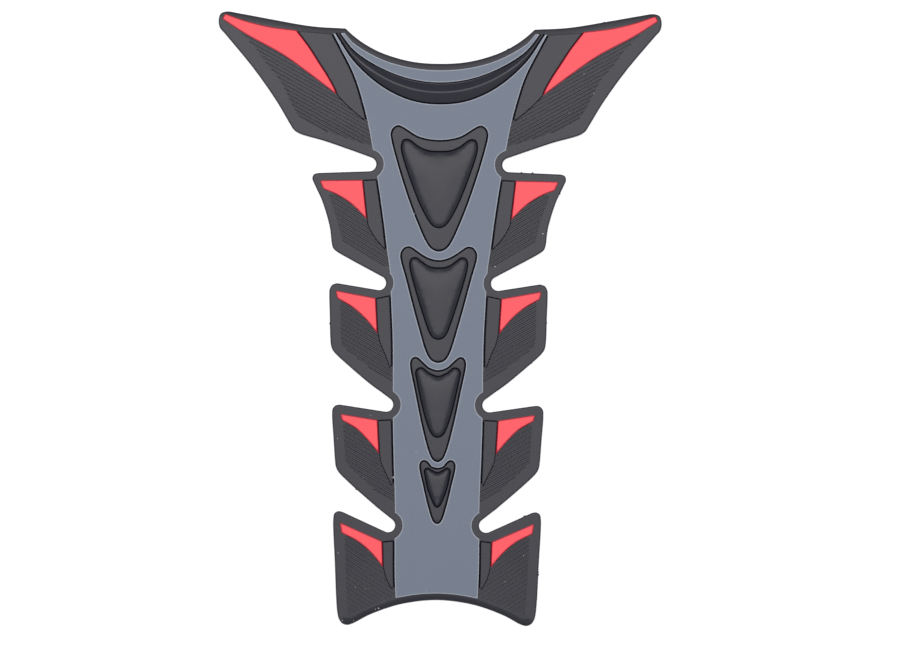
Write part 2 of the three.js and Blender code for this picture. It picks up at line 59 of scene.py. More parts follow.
# heights above the back face
levels = {
    "floor": 1.0,          # floor of the colour pockets
    "rim": 1.45,           # plain rim, notch rings and rib crests
    "grey": 1.9,
    "red": 1.6,
    "blade": 1.95,
    "frame": 2.1,
    "domeEdge": 1.5,
    "domeCrown": 2.65,
    "ridgeEdge": 1.6,
    "ridgeCrest": 3.0,
    "root": 0.7,           # raised shapes start this deep in the sheet
    "clear": 5.0,          # above everything
}

# right half of the pad's edge, from the collar down to the foot, with the fins' own lines
collarEdge = [(0, 89.6), (10, 90.35), (20, 93.15), (26, 96.15), (30, 98.95), (33.2, 101.8)]
fins = {
    "wing": {
        "edge": [(33.2, 101.8), (45, 102.5), (60, 105.0), (70, 106.8), (75, 107.5), (77.0, 106.7),
                 (77.7, 104.5), (77.25, 101.8), (75.5, 99.7), (65.25, 87.4), (57.25, 76.15), (52.4, 68.05),
                 (51.15, 66.15), (49.05, 64.8), (40.1, 62.2), (30.1, 58.8)],
        "notch": (24.6, 54.2),
        "bladeHead": [(37.9, 99.9), (50.0, 100.8)],
        "divide": [(50.0, 100.8), (45.4, 94.7), (42.25, 89.8), (39.05, 84.85), (36.4, 79.9), (36.0, 78.5)],
        "bladeTail": [(36.0, 78.5), (35.0, 77.3), (30.3, 72.8), (26.4, 69.65)],
        "redHead": [(50.0, 100.8), (60, 102.1), (68, 104.0), (75.4, 106.5)],
        "redArc": [(76.3, 104.8), (68, 99.5), (55.2, 92.5), (45.15, 85.4), (36.0, 78.5)],
        "ribPitch": 1.2, "ribAngle": 28.5,
        "ribField": [(24.4, 60.8), (34, 63.7), (42, 66.5), (46, 68.5), (50, 71.5), (52.5, 76.5), (56, 83.5),
                     (61, 89.5), (65, 95), (69.8, 99.8), (66, 99.6), (50, 91), (40, 83), (34, 79), (25, 71),
                     (23.5, 66)],
    },
    "second_fin": {
        "edge": [(42.5, 51.0), (44.0, 50.5), (44.5, 49.2), (43.4, 46.4), (41.0, 41.2), (38.3, 32.2),
                 (37.5, 26.2), (37.05, 24.7), (36.0, 23.65), (30.1, 20.25)],
        "notch": (20.9, 12.55),
        "bladeHead": [(22.1, 48.75), (26.6, 48.55)],
        "divide": [(26.6, 48.55), (25.1, 34.8)],
        "bladeTail": [(25.1, 34.8), (24.85, 32.85), (22.1, 28.0), (18.7, 24.2)],
        "redHead": [(26.6, 48.55), (41.8, 48.3)],
        "redArc": [(40.5, 45.45), (35.85, 43.55), (30.8, 40.35), (25.1, 34.8)],
        "ribPitch": 1.38, "ribAngle": 31,
        "ribField": [(17.6, 18.2), (20, 18.9), (28, 23.2), (33.8, 27.3), (35.5, 34), (38.6, 43.2),
                     (36, 44.5), (30, 41), (26, 37), (23, 33), (17.5, 25)],
    },
    "third_fin": {
        "edge": [(35.6, 12.4), (37.3, 11.8), (38.2, 10.2), (38.3, 8.2), (38.1, 2), (37.75, -8.3),
                 (37.4, -10.2), (36.5, -11.75), (30.3, -17.45), (23.2, -23.35), (20.15, -25.5)],
        "notch": (18.15, -30.1),
        "bladeHead": [(16.9, 8.15), (21.8, 7.1)],
        "divide": [(21.8, 7.1), (21.1, -5.3)],
        "bladeTail": [(21.1, -5.3), (20.35, -8.45), (18.35, -13.1), (16.9, -17.2)],
        "redHead": [(21.8, 7.1), (36.05, 9.75)],
        "redArc": [(35.4, 7.2), (30.1, 4.05), (25.6, 0.15), (21.1, -5.3)],
        "ribPitch": 1.38, "ribAngle": 30,
        "ribField": [(15.6, -22.8), (21, -19.6), (28.7, -13.6), (33.6, -9.7), (34.2, -7), (34.4, 6),
                     (33, 7), (28, 4), (23, -1), (19, -8), (15.6, -15)],
    },
    "fourth_fin": {
        "edge": [(34.4, -30.2), (35.8, -30.45), (36.85, -31.6), (37.05, -33.6), (36.5, -42), (35.95, -49.6),
                 (35.65, -51.8), (34.85, -53.6), (30.3, -58.15), (21.0, -66.25)],
        "notch": (17.2, -72.4),
        "bladeHead": [(16.1, -35.4), (20.9, -35.6)],
        "divide": [(20.9, -35.6), (20.25, -47.4)],
        "bladeTail": [(20.25, -47.4), (19.95, -49.8), (18.2, -53.95), (16, -58.4)],
        "redHead": [(20.9, -35.6), (34.1, -33.5)],
        "redArc": [(33.5, -35.55), (28.35, -38.6), (24.45, -42.45), (20.25, -47.4)],
        "ribPitch": 1.38, "ribAngle": 29.5,
        "ribField": [(14.4, -64.8), (18, -62.9), (22, -60), (30, -52.8), (32.3, -50), (33.1, -37.5),
                     (31, -36), (25, -40.5), (21, -45.5), (17, -54), (14.4, -57)],
    },
    "foot_fin": {
        "edge": [(33.2, -67.85), (34.7, -67.6), (36.0, -68.3), (36.4, -70), (35.8, -85), (34.8, -103),
                 (34.2, -105.4), (33.1, -106.9), (31.4, -107.5), (29.4, -106.95), (23.7, -103.95),
                 (14.7, -100.65), (6.9, -99.1), (0, -98.6)],
        "notch": None,
        "bladeHead": [(15.1, -77.75), (19.0, -78.2)],
        "divide": [(19.0, -78.2), (18.7, -87.2)],
        "bladeTail": [(18.7, -87.2), (18.1, -89.75), (17.5, -91.5), (15.7, -94.8)],
        "redHead": [(19.0, -78.2), (34.0, -71.6)],
        "redArc": [(33.4, -75.05), (27.65, -78.05), (22.8, -82.2), (18.7, -87.2)],
        "ribPitch": 1.38, "ribAngle": 32.5,
        "ribField": [(14.2, -96.9), (18, -98.3), (31, -103.6), (31.8, -92), (32.4, -76.5), (30, -75.5),
                     (25, -79), (20, -85), (16.5, -92), (14.2, -93)],
    },
}

# collar band, roof-shaped ridge and grey panel
bandTop = [(0, 87.3), (10, 88.15), (20, 90.9), (30, 96.45), (33.5, 100.2)]
bandFoot = [(0, 82.8), (10, 83.95), (19.9, 87.45), (29.85, 93.65), (35.2, 100.1)]
ridgeCrest = [(0, 79.3), (10.1, 80.55), (20.15, 84.65), (29.95, 91.95), (35.9, 100.2)]
panelTop = [(0, 75.5), (10, 76.8), (20.05, 81.55), (30, 90.3), (36.65, 100.15)]
panelSide = [(38.0, 100.2), (35.3, 95.1), (30.2, 84.95), (27, 75), (25.05, 67), (22.0, 49.5), (19.8, 35),
             (18.4, 24), (17.4, 16.6), (16.8, 5), (16.2, -8), (16.1, -20), (16.0, -35), (15.6, -50),
             (15.1, -65), (15.1, -78), (15, -90), (14.65, -98.15)]
panelFoot = [(14.65, -98.15), (6.95, -96.85), (0, -96.45)]

# right halves of the four arrowheads, largest first
arrowheads = [
    {"frame": [(0, 62.5), (5, 63.05), (8.05, 64.05), (12.9, 67.05), (14.5, 67.65), (15.95, 66.9),
               (16.85, 65.1), (16.65, 62.95), (13.35, 50.9), (8.15, 35.95), (3.4, 25.8), (1.6, 24.3),
               (0, 23.9)],
     "dome": [(0, 58.65), (4.05, 58.95), (7.2, 60.25), (10.2, 62.45), (11.4, 62.85), (12.6, 62.5),
              (13.2, 61), (13.15, 58.9), (10.15, 49.25), (6.05, 39.1), (3, 33.8), (1.6, 32.5), (0, 32.1)]},
    {"frame": [(0, 20.4), (4.15, 21.4), (8.35, 24.1), (9.5, 24.9), (10.6, 25.2), (12, 24.75), (13, 23.4),
               (13.2, 21.6), (11.35, 14.55), (7.15, -1.15), (3.8, -11.95), (2.15, -14.35), (0, -15.1)],
     "dome": [(0, 17.85), (3.1, 18.2), (6.35, 20.25), (7.4, 21.1), (8.5, 21.4), (9.6, 20.9), (10.05, 19.6),
              (9.8, 17.05), (7.85, 9.8), (4, -2.2), (3, -4.7), (1.8, -6.4), (0, -7)]},
    {"frame": [(0, -18.15), (3.05, -17.3), (6.85, -14.0), (7.85, -13.5), (8.9, -13.9), (9.5, -15.1),
               (9.5, -16.8), (7.9, -24.8), (5.05, -38.4), (2.7, -46.8), (1.5, -49.1), (0, -49.9)],
     "dome": [(0, -20.2), (3.1, -19.05), (4.4, -18.05), (5.35, -17.3), (6.3, -17.2), (7.25, -17.65),
              (7.75, -18.75), (7.4, -21), (4.45, -34), (2.15, -40), (1.1, -41.05), (0, -41.35)]},
    {"frame": [(0, -52.4), (2.15, -51.8), (3.25, -50.45), (4.1, -49.8), (5.2, -49.75), (6, -50.7),
               (6.05, -52.4), (4.7, -58.5), (2.95, -65.8), (1.1, -70.95), (0, -71.6)],
     "dome": [(0, -53.9), (2, -53.1), (3, -52.45), (3.8, -52.4), (4.45, -53.05), (4.25, -55), (3.25, -59.6),
              (1.35, -64.4), (0.6, -65.6), (0, -65.9)]},
]


# Lines and outlines in the plan

def smoothCurve(points, spacing=0.7):
    points = np.array(points, float)
    mirrored = points * [-1, 1]  # a curve from the middle line runs on as its mirror image
    before = mirrored[1] if points[0, 0] == 0 else 2 * points[0] - points[1]
    after = mirrored[-2] if points[-1, 0] == 0 else 2 * points[-1] - points[-2]
    ends = np.vstack([before, points, after])
    placed = []
    for i in range(len(points) - 1):
        p0, p1, p2, p3 = ends[i:i + 4]
        steps = max(1, math.ceil(np.linalg.norm(p2 - p1) / spacing))
        if len(points) < 3:
            placed += [p1 + (p2 - p1) * k / steps for k in range(steps)]
            continue
        d0, d1, d2 = [math.sqrt(np.linalg.norm(b - a)) for a, b in ((p0, p1), (p1, p2), (p2, p3))]
        leaving = ((p1 - p0) / d0 - (p2 - p0) / (d0 + d1) + (p2 - p1) / d1) * d1
        arriving = ((p2 - p1) / d1 - (p3 - p1) / (d1 + d2) + (p3 - p2) / d2) * d1
        for k in range(steps):
            t = k / steps
            placed.append(p1 + leaving * t + (3 * (p2 - p1) - 2 * leaving - arriving) * t ** 2
                          + (2 * (p1 - p2) + leaving + arriving) * t ** 3)
    return np.array(placed + [points[-1]])


def joinRuns(*runs):
    points = np.vstack(runs)
    gaps = np.linalg.norm(points - np.roll(points, -1, 0), axis=1)
    return points[gaps > 1e-3]


def mirrorRun(points):
    return (np.array(points) * [-1, 1])[::-1]


def counterClockwise(outline):
    x, y = outline.T
    area = (x * np.roll(y, -1) - np.roll(x, -1) * y).sum()
    return outline if area > 0 else outline[::-1]


def bothHalves(half):
    return counterClockwise(joinRuns(half, mirrorRun(half)))


def distanceTo(points, loops):
    nearest = np.full(len(points), 1e9)
    for loop in loops:
        edge = np.roll(loop, -1, 0) - loop
        lengthSquared = np.maximum((edge ** 2).sum(1), 1e-12)
        for first in range(0, len(points), 1500):
            block = slice(first, first + 1500)
            offset = points[block, None] - loop[None]
            along = np.clip((offset * edge).sum(2) / lengthSquared, 0, 1)
            gap = ((offset - along[..., None] * edge) ** 2).sum(2).min(1)
            nearest[block] = np.minimum(nearest[block], np.sqrt(gap))
    return nearest


def distanceToRun(points, run):
    there = np.array(run, float)
    return distanceTo(points, [np.vstack([there, there[-2:0:-1]])])


def insideOf(points, loop):
    inside = np.zeros(len(points), bool)
    x0, y0 = loop.T
    x1, y1 = np.roll(loop, -1, 0).T
    rise = np.where(y1 == y0, 1e-12, y1 - y0)
    for first in range(0, len(points), 1500):
        block = slice(first, first + 1500)
        x, y = points[block, 0, None], points[block, 1, None]
        crosses = ((y0 > y) != (y1 > y)) & (x < (x1 - x0) * (y - y0) / rise + x0)
        inside[block] = crosses.sum(1) % 2 == 1
    return inside


def moveEdges(outline, distances):  # moves each edge inwards by its own distance
    edge = np.roll(outline, -1, 0) - outline
    unit = edge / np.linalg.norm(edge, axis=1)[:, None]
    normal = np.stack([-unit[:, 1], unit[:, 0]], 1)
    before = np.roll(normal, 1, 0)
    leaving = np.broadcast_to(np.asarray(distances, float), len(outline))
    arriving = np.roll(leaving, 1)
    turn = before[:, 0] * normal[:, 1] - before[:, 1] * normal[:, 0]
    straight = (np.abs(turn) < 0.02) | ((before * normal).sum(1) < -0.9)
    safeTurn = np.where(straight, 1, turn)
    crossing = np.stack([(arriving * normal[:, 1] - leaving * before[:, 1]) / safeTurn,
                         (before[:, 0] * leaving - normal[:, 0] * arriving) / safeTurn], 1)
    middle = before + normal
    middle /= np.maximum((middle ** 2).sum(1), 0.1)[:, None]
    along = middle * (arriving + leaving)[:, None]
    return outline + np.where(straight[:, None], along, crossing)


def moveRuns(outline, distances):  # moveEdges for an outline that may run either way round
    if not np.array_equal(outline, counterClockwise(outline)):
        outline, distances = outline[::-1], np.roll(distances[::-1], -1)
    return moveEdges(outline, distances)


def insetOutline(outline, distance):
    moved = moveEdges(outline, distance)
    good = distanceTo(moved, [outline]) > 0.97 * abs(distance)
    return joinRuns(moved[good])


def roundCorners(outline, radius, sharpest=0.5):
    rounded = []
    for i, corner in enumerate(outline):
        arriving = corner - outline[i - 1]
        leaving = outline[(i + 1) % len(outline)] - corner
        turn = abs(math.atan2(arriving[0] * leaving[1] - arriving[1] * leaving[0], arriving @ leaving))
        if turn < sharpest:
            rounded.append(corner)
            continue
        lengths = [np.linalg.norm(arriving), np.linalg.norm(leaving)]
        reach = min(radius * math.tan(turn / 2), 0.9 * min(lengths))
        start = corner - arriving / lengths[0] * reach
        end = corner + leaving / lengths[1] * reach
        bulge = math.cos(turn / 2)
        for t in np.linspace(0, 1, max(3, round(turn / 0.25))):
            a, b, c = (1 - t) ** 2, 2 * t * (1 - t) * bulge, t ** 2
            rounded.append((a * start + b * corner + c * end) / (a + b + c))
    return joinRuns(np.array(rounded))


def ribbon(run, halfWidth, closed=False):  # thin band along a line
    run = np.array(run, float)
    if closed:
        return moveEdges(run, -halfWidth), moveEdges(run, halfWidth)
    ahead = np.vstack([run[1:] - run[:-1], run[-1:] - run[-2:-1]])
    back = np.vstack([run[1:2] - run[:1], run[1:] - run[:-1]])
    unit = ahead / np.linalg.norm(ahead, axis=1)[:, None] + back / np.linalg.norm(back, axis=1)[:, None]
    unit /= np.linalg.norm(unit, axis=1)[:, None]
    side = np.stack([-unit[:, 1], unit[:, 0]], 1) * halfWidth
    return counterClockwise(np.vstack([run + side, (run - side)[::-1]]))


# Closed solids, as points and faces

def mound(outline, height, rings=(), root=None, holes=(), gridStep=None, soften=0):
    # Flat-based solid over an outline. height gives the top from the distance to the edge and
    # the place, and rings are the distances at which extra rows of points follow the edge.
    loops = [np.asarray(outline), *[np.asarray(h) for h in holes]]
    points, edges = [], []

    def addRun(run, closed=True):
        start = len(points)
        points.extend(run)
        count = len(run) if closed else len(run) - 1
        edges.extend((start + i, start + (i + 1) % len(run)) for i in range(count))

    def within(places):
        inside = insideOf(places, loops[0])
        for hole in loops[1:]:
            inside &= ~insideOf(places, hole)
        return inside

    for index, loop in enumerate(loops):
        addRun(loop)
        for depth in rings:
            ring = moveEdges(loop, depth if index == 0 else -depth)
            good = (distanceTo(ring, loops) > 0.97 * depth) & within(ring)
            kept = ring[good]
            if len(kept) < 3:
                continue
            start = len(points)
            points.extend(kept)
            places = np.flatnonzero(good)
            for k in range(len(places)):
                if (places[k] + 1) % len(loop) == places[(k + 1) % len(places)]:
                    edges.append((start + k, start + (k + 1) % len(places)))
    if gridStep:
        low, high = loops[0].min(0), loops[0].max(0)
        rows = np.arange(low[1], high[1], gridStep * 0.866)
        grid = np.array([(x + (gridStep / 2 if r % 2 else 0), y) for r, y in enumerate(rows)
                         for x in np.arange(low[0], high[0] + gridStep, gridStep)])
        deepest = rings[-1] if rings else 0
        grid = grid[within(grid)]
        grid = grid[distanceTo(grid, loops) > deepest + gridStep * 0.6]
        points.extend(grid)
    net = geometry.delaunay_2d_cdt([Vector(p) for p in points], edges, [], 0, 1e-5, False)
    plan, triangles = np.array([p[:] for p in net[0]]), np.array(net[2])
    corner = plan[triangles]
    first, second = corner[:, 1] - corner[:, 0], corner[:, 2] - corner[:, 0]
    size = first[:, 0] * second[:, 1] - first[:, 1] * second[:, 0]
    triangles = triangles[within(corner.mean(1)) & (np.abs(size) > 1e-9)]
    used = np.unique(triangles)
    renumber = np.full(len(plan), -1)
    renumber[used] = np.arange(len(used))
    plan, triangles = plan[used], renumber[triangles]
    depths = distanceTo(plan, loops)
    top = height(depths, plan)
    if soften:  # evens out the creases in the middle
        pairs = np.vstack([triangles[:, [0, 1]], triangles[:, [1, 2]], triangles[:, [2, 0]]])
        pairs = np.unique(np.sort(pairs, 1), axis=0)
        count = np.bincount(pairs.ravel(), minlength=len(plan))
        share = np.clip((depths - 0.5) / 1.5, 0, 1)
        for _ in range(soften):
            total = np.zeros(len(plan))
            np.add.at(total, pairs[:, 0], top[pairs[:, 1]])
            np.add.at(total, pairs[:, 1], top[pairs[:, 0]])
            top = top + share * (total / count - top)
    count = len(plan)
    vertices = np.vstack([np.column_stack([plan, top]), np.column_stack([plan, np.full(count, float(root))])])
    directed = {edge: True for a, b, c in triangles for edge in ((a, b), (b, c), (c, a))}
    faces = [tuple(t) for t in triangles] + [(c + count, b + count, a + count) for a, b, c in triangles]
    faces += [(b, a, a + count, b + count) for a, b in directed if (b, a) not in directed]
    return vertices, faces


def flatTop(level):
    return lambda depths, places: np.full(len(depths), float(level))


def roundedTop(level, radius, edgeDrop=None):
    drop = radius if edgeDrop is None else edgeDrop

    def height(depths, places):
        t = np.clip(depths / radius, 0, 1)
        return level - drop * (1 - np.sqrt(1 - (1 - t) ** 2))
    return height


def prism(outline, low, high, holes=()):
    return mound(outline, flatTop(high), root=low, holes=holes)


# closed turned solid, its profile from the axis at the foot to the axis at the top
def lathe(centre, profile, sides=96):
    vertices, faces = [(centre[0], centre[1], profile[0][1])], []
    angles = np.linspace(0, 2 * math.pi, sides, endpoint=False)
    for radius, z in profile[1:-1]:
        vertices += [(centre[0] + radius * math.cos(a), centre[1] + radius * math.sin(a), z) for a in angles]
    vertices.append((centre[0], centre[1], profile[-1][1]))
    rows, last = len(profile) - 2, len(vertices) - 1
    for i in range(sides):
        j = (i + 1) % sides
        faces.append((0, 1 + j, 1 + i))
        for r in range(rows - 1):
            a, b = 1 + r * sides, 1 + (r + 1) * sides
            faces.append((a + i, a + j, b + j, b + i))
        top = 1 + (rows - 1) * sides
        faces.append((top + i, top + j, last))
    return np.array(vertices), faces


def mirrorSolid(solid):
    vertices, faces = solid
    return vertices * [-1, 1, 1], [tuple(reversed(f)) for f in faces]


def together(solids):
    vertices, faces, start = [], [], 0
    for points, sides in solids:
        vertices.append(points)
        faces += [tuple(int(i) + start for i in f) for f in sides]
        start += len(points)
    return np.vstack(vertices), faces


def onBothSides(solids):
    return [*solids, *[mirrorSolid(s) for s in solids]]


def meshObject(name, solid):
    vertices, faces = solid
    mesh = bpy.data.meshes.new(name)
    mesh.from_pydata((vertices * mm).tolist(), [], [tuple(int(i) for i in f) for f in faces])
    mesh.update()
    made = bpy.data.objects.new(name, mesh)
    scene.collection.objects.link(made)
    return made


def combine(piece, operation, solids):  # cuts or joins one solid after another
    for solid in solids:
        tool = meshObject("tool", solid)
        modifier = piece.modifiers.new("cut", "BOOLEAN")
        modifier.operation = operation
        modifier.solver = "MANIFOLD"
        modifier.object = tool
        applyModifiers(piece)
        bpy.data.objects.remove(tool)
        if not piece.data.polygons:
            raise ValueError(f"{piece.name}: the {operation} left nothing")
    return piece


def applyModifiers(piece):
    depsgraph = bpy.context.evaluated_depsgraph_get()
    made = bpy.data.meshes.new_from_object(piece.evaluated_get(depsgraph))
    piece.modifiers.clear()
    old = piece.data
    piece.data = made
    made.name = piece.name
    bpy.data.meshes.remove(old)


def finishSurface(piece, sharpDegrees=38):  # smooth shading that keeps flat faces flat
    mesh = piece.data
    mesh.polygons.foreach_set("use_smooth", [True] * len(mesh.polygons))
    mesh.set_sharp_from_angle(angle=math.radians(sharpDegrees))
    weighted = piece.modifiers.new("flatFaces", "WEIGHTED_NORMAL")
    weighted.keep_sharp = True
    weighted.weight = 100
    applyModifiers(piece)


def triangleCount(piece):
    piece.data.calc_loop_triangles()
    return len(piece.data.loop_triangles)


# Plan of the pad

notchShape = {"radius": 2.5, "ringWidth": 2.6}
seams = {"groove": 0.54, "headGroove": 0.32, "tailGroove": 0.22, "grooveFloor": 0.85, "redBorder": 0.12}


def arcBetween(centre, start, end, radius, step=0.12):
    sweep = (end - start) % (2 * math.pi)
    angles = start + sweep * np.linspace(0, 1, math.ceil(sweep / step) + 1)
    return np.column_stack([np.cos(angles), np.sin(angles)]) * radius + centre


def notchEnd(centre, above, below):
    centre, radius = np.array(centre), notchShape["radius"]
    ends = []
    for point, turn in ((above, 1), (below, -1)):
        line = point - centre
        ends.append(math.atan2(line[1], line[0]) + turn * math.acos(radius / np.linalg.norm(line)))
    return arcBetween(centre, ends[0], ends[1], radius)


def padOutline():
    edges = [smoothCurve(fin["edge"]) for fin in fins.values()]
    half = [smoothCurve(collarEdge)]
    for index, fin in enumerate(fins.values()):
        half.append(edges[index])
        if fin["notch"]:
            half.append(notchEnd(fin["notch"], edges[index][-1], edges[index + 1][0]))
    low, high = [np.array(corner[:2]) / mm for corner in cadBox]
    return np.clip(bothHalves(joinRuns(*half)), low, high)


def redOutline(fin):  # a little past its drawn lines, apart from the one beside the blade
    head, arc, divide = [smoothCurve(fin[name]) for name in ("redHead", "redArc", "divide")]
    outline = np.vstack([head, arc, divide[-2:0:-1]])
    distances = np.concatenate([np.full(len(head) + len(arc) - 1, -seams["redBorder"]),
                                np.zeros(len(divide) - 1)])
    return roundCorners(joinRuns(moveRuns(outline, distances)), 0.7)


def sideBetween(top, foot):  # the grey panel's right edge between two heights
    side = smoothCurve(panelSide)
    return side[(side[:, 1] < top) & (side[:, 1] > foot)]


panelLine = bothHalves(joinRuns(smoothCurve(panelTop), smoothCurve(panelSide), smoothCurve(panelFoot)))
panelPour = insetOutline(panelLine, seams["groove"] / 2)
bandPour = insetOutline(roundCorners(
    bothHalves(joinRuns(smoothCurve(bandTop), smoothCurve(bandFoot)[::-1])), 0.4), 0.12)
notchCentres = [np.array(fin["notch"]) for fin in fins.values() if fin["notch"]]
ringRadius = notchShape["radius"] + notchShape["ringWidth"]
frameLines = [bothHalves(smoothCurve(a["frame"], 0.5)) for a in arrowheads]
domeLines = [bothHalves(smoothCurve(a["dome"], 0.5)) for a in arrowheads]
print("tank pad: outlines drawn,", len(padOutline()), "points round the pad")


# Black moulding

sheetShape = {"edgeRounding": 0.5, "rings": (0.06, 0.14, 0.26, 0.4, 0.55, 0.9, 1.3, 1.8, 2.3),
              "footRoll": 0.44, "topRoll": 0.46, "rollWidth": 2.9}
ribShape = {"width": 0.2, "depth": 0.27, "fineWidth": 0.12, "fineDepth": 0.18,
            "wingWidth": 0.3, "wingFine": 0.9, "floorShare": 0.3, "endOverlap": 0.3}
bladeShape = {"rounding": 0.28, "rings": (0.05, 0.12, 0.2, 0.3)}
frameShape = {"rounding": 0.25, "rings": (0.05, 0.12, 0.25)}
domeShape = {"crownWidths": (5.5, 5.2, 4.8, 3.6), "gap": 0.2, "soften": 30, "gridStep": 0.7,
             "rings": (0.06, 0.14, 0.26, 0.42, 0.62, 0.86, 1.15, 1.5, 1.95, 2.5)}
ridgeShape = {"steps": 60, "rounding": 1.4, "upperDrop": 0.35, "footRise": 0.18,
              "crestWidth": 0.34, "crestShare": 0.18, "seamShare": 0.4}
nubShape = {"from": 0.15, "widest": (0.2, 0.8), "shoulder": 1.0, "top": 1.1}  # heights

# small nubs of flash left on the edge: rough place and radius
flashNubs = [(28.9, 51.6, 0.3), (32.7, 51.5, 0.36), (42.6, 44.1, 0.28), (38.0, -1.1, 0.22),
             (30.4, -68.9, 0.32), (31.1, -68.6, 0.22), (35.6, -89.5, 0.32), (35.7, -88.6, 0.22),
             (23.7, 95.0, 0.22), (-38.2, -1.8, 0.3), (-28.2, -59.6, 0.3), (57.5, 104.6, 0.22),
             (32.7, -15.0, 0.2)]


def nubs():
    line = padOutline()
    line = resample(np.vstack([line, line[:1]]), 6000)
    solids = []
    for x, y, r in flashNubs:
        centre = line[np.argmin(np.linalg.norm(line - [x, y], axis=1))]
        profile = [(0, nubShape["from"]), *[(r, z) for z in nubShape["widest"]],
                   (r * 0.6, nubShape["shoulder"]), (0, nubShape["top"])]
        solids.append(lathe(centre, profile, 14))
    return together(solids)


def sheet():
    rounded = roundedTop(levels["rim"], sheetShape["edgeRounding"])
    topEdge = joinRuns(smoothCurve(collarEdge), smoothCurve(fins["wing"]["edge"][:5]))
    footEdge = smoothCurve(fins["foot_fin"]["edge"][8:])

    def height(depths, places):  # the rim rolls down along the pad's top and foot edges
        rightHalf = np.abs(places * [1, 0]) + places * [0, 1]
        level = rounded(depths, places)
        for run, drop in ((topEdge, sheetShape["topRoll"]), (footEdge, sheetShape["footRoll"])):
            level -= drop * (1 - np.clip(distanceToRun(rightHalf, run) / sheetShape["rollWidth"], 0, 1))
        return level
    return mound(padOutline(), height, sheetShape["rings"], root=0)


def ribGrooves(fin):  # the grooves that leave the ribs of one fin standing
    field = np.array(fin["ribField"])
    angle = math.radians(fin["ribAngle"])
    along = np.array([math.cos(angle), math.sin(angle)])
    across = np.array([-along[1], along[0]])
    heights = field @ across
    lowest, highest = heights.min(), heights.max()
    rimZ = levels["rim"]
    solids = []
    for k in range(2 * int((highest - lowest) / fin["ribPitch"])):
        fine = k % 2 == 1  # a finer groove halfway between two main ones
        half = ribShape["fineWidth" if fine else "width"] / 2
        floorZ = rimZ - ribShape["fineDepth" if fine else "depth"]
        if fin is fins["wing"]:  # wider main grooves there, and only a faint line between them
            half = half * ribShape["wingFine"] if fine else ribShape["wingWidth"] / 2
            floorZ = rimZ - ribShape["fineDepth"] * ribShape["wingFine"] if fine else floorZ
        flat = half * ribShape["floorShare"]
        section = [(-half - 0.05, rimZ + 0.3), (-half - 0.05, rimZ + 0.001), (-half, rimZ - 0.02),
                   (-flat, floorZ), (flat, floorZ),
                   (half, rimZ - 0.02), (half + 0.05, rimZ + 0.001), (half + 0.05, rimZ + 0.3)]
        middle = lowest + (k + 1) * fin["ribPitch"] / 2
        crossings = []
        for a, b in zip(field, np.roll(field, -1, 0)):
            ha, hb = a @ across - middle, b @ across - middle
            if (ha > 0) != (hb > 0):
                crossings.append((a + (b - a) * ha / (ha - hb)) @ along)
        if len(crossings) < 2:
            continue
        ends = []
        for place in (min(crossings) - ribShape["endOverlap"], max(crossings)):
            ends.append([(*(along * place + across * (middle + v)), z) for v, z in section])
        count = len(section)
        faces = [tuple(reversed(range(count))), tuple(range(count, 2 * count))]
        faces += [(i, (i + 1) % count, count + (i + 1) % count, count + i) for i in range(count)]
        solids.append((np.array(ends[0] + ends[1]), faces))
    return solids


def blade(fin):
    head, divide, tail = [smoothCurve(fin[name]) for name in ("bladeHead", "divide", "bladeTail")]
    inner = sideBetween(fin["bladeHead"][0][1], fin["bladeTail"][-1][1])[::-1]
    outline = np.vstack([head, divide[1:], tail[1:], inner])
    distances = np.concatenate([
        np.full(len(head) - 1, seams["headGroove"] / 2), np.zeros(len(divide) + len(tail) - 2),
        np.full(len(inner) + 1, seams["groove"] / 2)])
    moved = moveRuns(outline, distances)
    moved = moved[distanceTo(moved, [outline]) < 0.5]
    return mound(counterClockwise(joinRuns(moved)), roundedTop(levels["blade"], bladeShape["rounding"]),
                 bladeShape["rings"], root=levels["root"])


